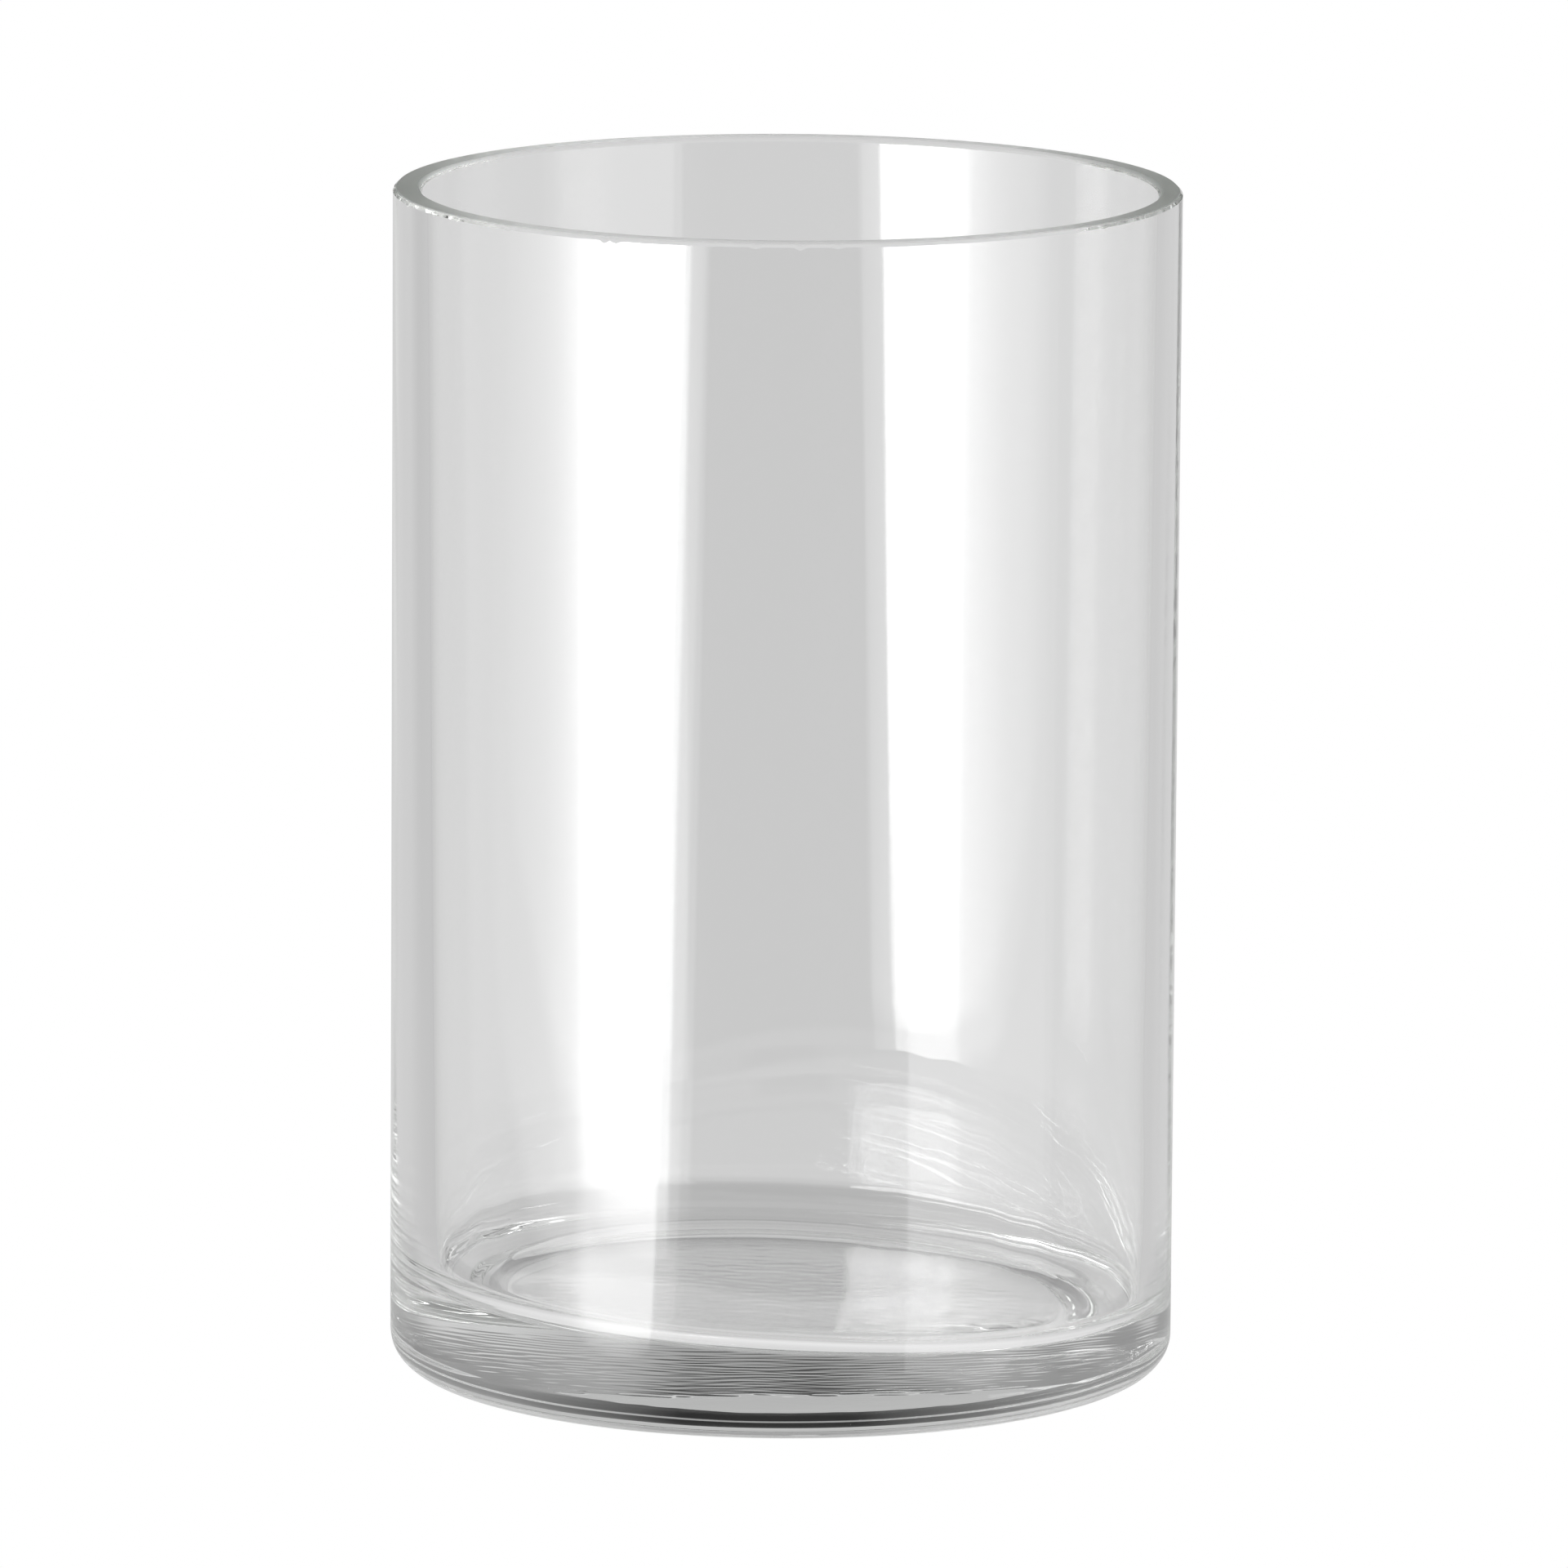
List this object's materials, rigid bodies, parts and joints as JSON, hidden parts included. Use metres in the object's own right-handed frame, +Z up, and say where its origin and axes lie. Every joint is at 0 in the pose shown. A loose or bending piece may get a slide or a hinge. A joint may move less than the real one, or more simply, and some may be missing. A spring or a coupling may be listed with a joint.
{
  "type": "glass cylinder vase",
  "caption": "Clear glass cylinder vase with a thick base, rounded heel and flat ground rim, for cut flowers in water or a candle.",
  "frame": {"origin": "centre of the foot, on the surface that the vase stands on", "axes": "+Z up along the axis of the cylinder and out of its mouth; the body is round, so X and Y are any two directions across it"},
  "size_m": [0.1, 0.1, 0.152],
  "materials": {
    "clear_glass": "polished"
  },
  "bodies": {
    "root": {"glass_vase": "clear_glass"}
  },
  "joints": []
}
